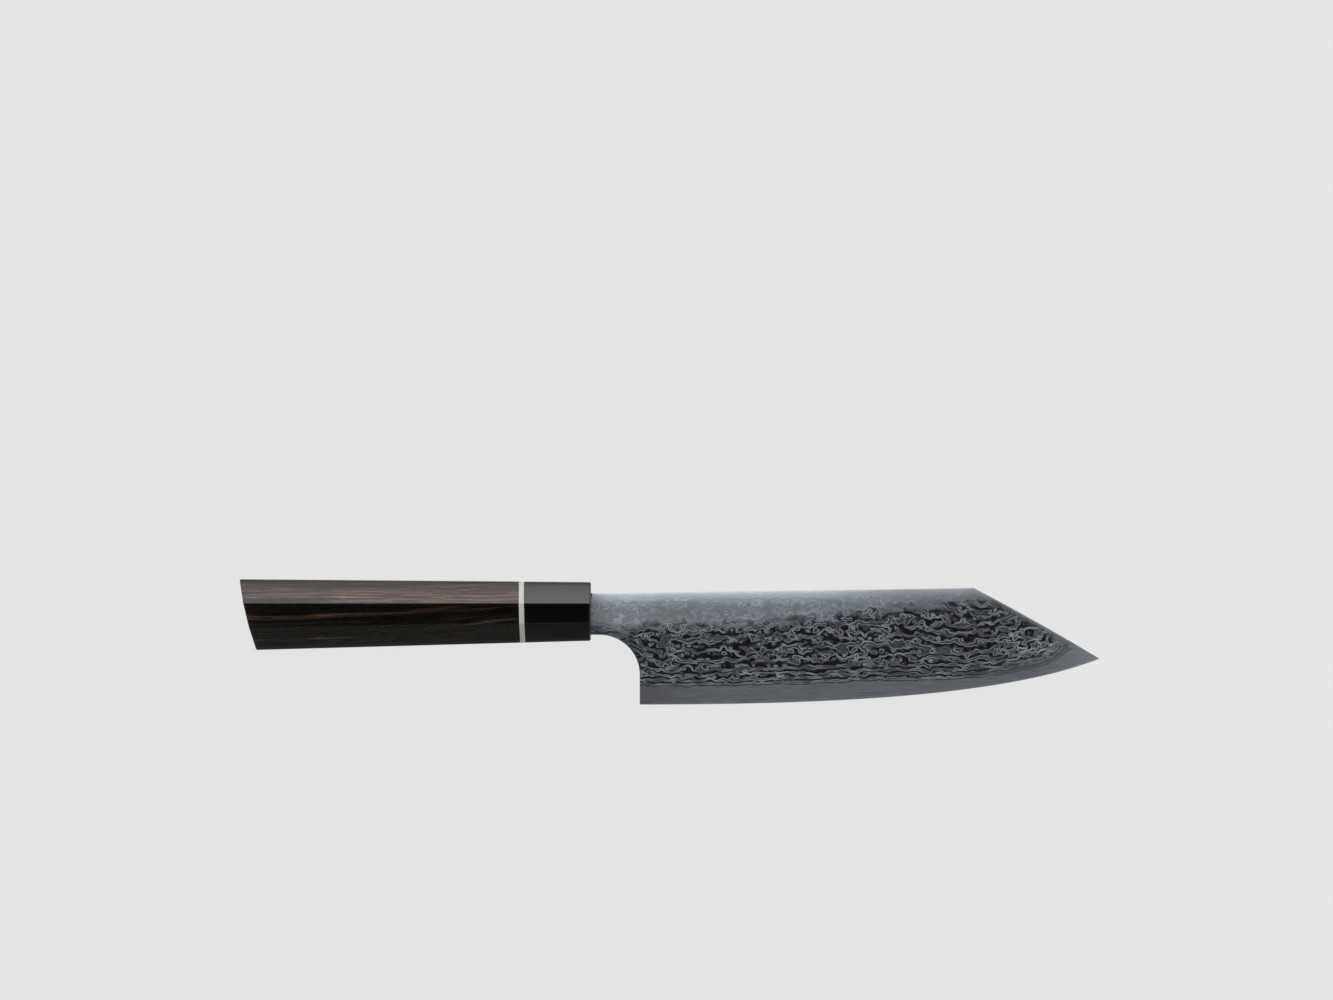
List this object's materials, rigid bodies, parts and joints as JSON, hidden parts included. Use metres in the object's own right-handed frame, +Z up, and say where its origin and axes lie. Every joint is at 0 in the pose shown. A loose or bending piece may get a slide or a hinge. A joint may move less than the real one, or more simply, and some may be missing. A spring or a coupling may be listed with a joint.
{
  "type": "santoku knife",
  "caption": "Santoku-size kitchen knife with a clipped tip, a laminated patterned blade and an octagonal dark wood handle with a black ferrule and a white ring.",
  "frame": {"origin": "under the middle of the knife's box, on the surface that it lies on", "axes": "+X along the knife from the butt to the tip, +Y from the edge to the spine, +Z up, square to the blade's right face"},
  "size_m": [0.3374, 0.0492, 0.021],
  "materials": {
    "core_steel": "satin",
    "clad_steel": "satin",
    "black_ferrule": "satin",
    "white_ring": "satin",
    "streaked_wood": "satin",
    "dowel_wood": "matte",
    "black_adhesive": "satin"
  },
  "bodies": {
    "root": {"core_steel": "core_steel", "right_cladding": "clad_steel", "left_cladding": "clad_steel", "ferrule": "black_ferrule", "spacer_ring": "white_ring", "handle_body": "streaked_wood", "joint_dowel": "dowel_wood", "tang_adhesive": "black_adhesive"}
  },
  "joints": []
}
